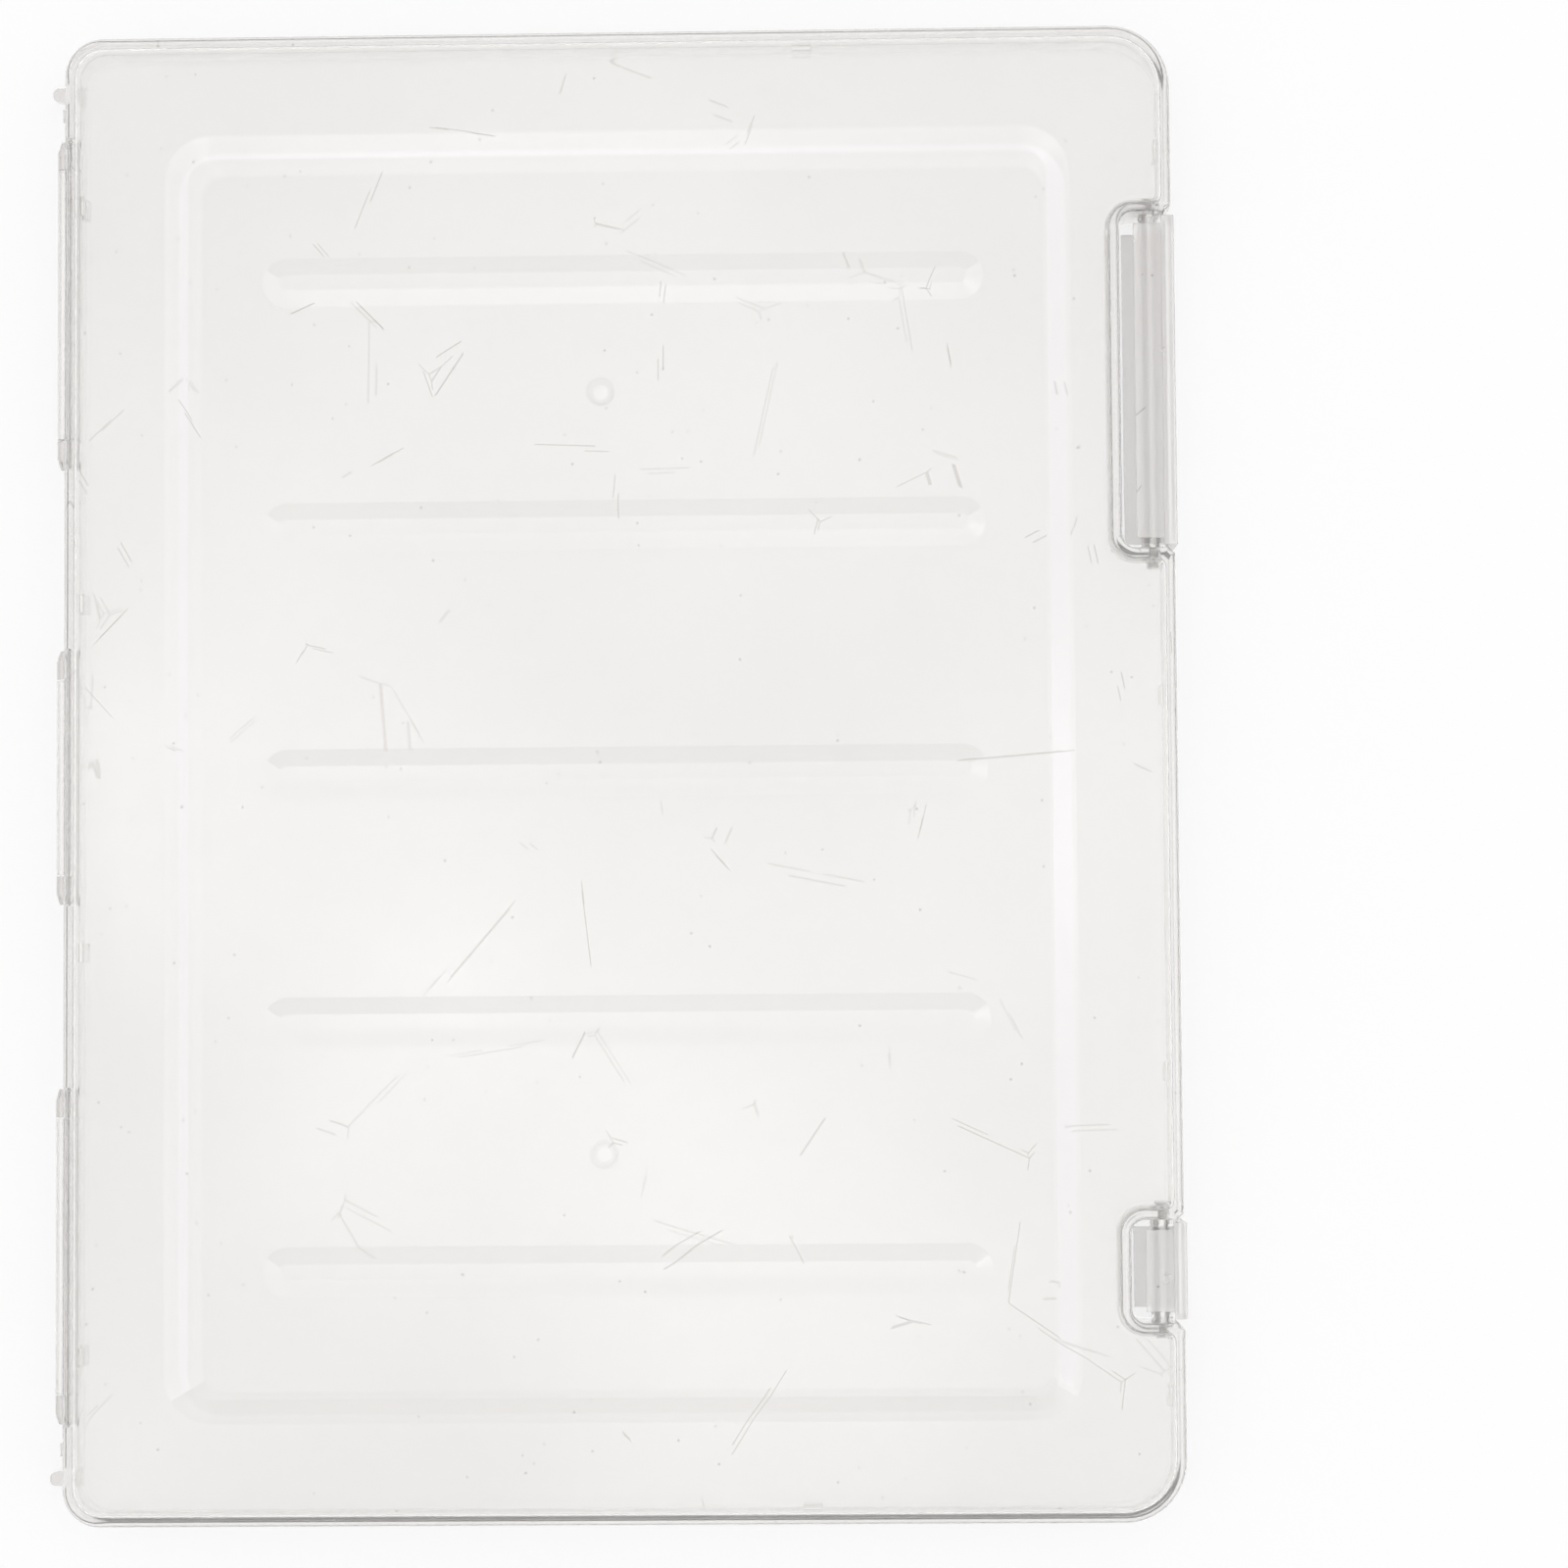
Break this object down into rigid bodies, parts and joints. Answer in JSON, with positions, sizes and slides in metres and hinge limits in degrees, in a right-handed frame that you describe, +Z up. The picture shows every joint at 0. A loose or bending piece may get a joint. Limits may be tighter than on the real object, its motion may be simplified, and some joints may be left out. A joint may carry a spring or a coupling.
{
  "type": "file storage box",
  "caption": "Flat hinged clear plastic case for loose papers, with a stepped ribbed lid, pinned spine hinge and flip latches in notches.",
  "frame": {"origin": "middle of the flat face of the base that the case rests on", "axes": "+X from the hinged spine towards the latches, +Y along the length of the case, +Z up, from the base to the lid"},
  "size_m": [0.2417, 0.315, 0.02],
  "materials": {
    "clear_shell": "natural clear polypropylene, moulded, faintly frosted",
    "latch_plastic": "natural clear polypropylene, moulded",
    "pin_plastic": "natural polypropylene rod"
  },
  "bodies": {
    "base": {"base_tray": "clear_shell", "hinge_pin_upper": "pin_plastic", "hinge_pin_middle": "pin_plastic", "hinge_pin_lower": "pin_plastic", "long_latch_pin": "pin_plastic", "short_latch_pin": "pin_plastic"},
    "lid": {"lid": "clear_shell"},
    "long_latch": {"long_latch": "latch_plastic"},
    "short_latch": {"short_latch": "latch_plastic"}
  },
  "joints": [
    {"name": "lid_hinge", "type": "hinge", "parent": "base", "child": "lid", "pos_m": [-0.118, 0, 0.0115], "axis": [0, -1, 0], "range_deg": [0, 180]},
    {"name": "long_latch_pivot", "type": "hinge", "parent": "base", "child": "long_latch", "pos_m": [0.114, 0.082, 0.0045], "axis": [0, 1, 0], "range_deg": [0, 90]},
    {"name": "short_latch_pivot", "type": "hinge", "parent": "base", "child": "short_latch", "pos_m": [0.114, -0.10555, 0.0045], "axis": [0, 1, 0], "range_deg": [0, 90]}
  ]
}
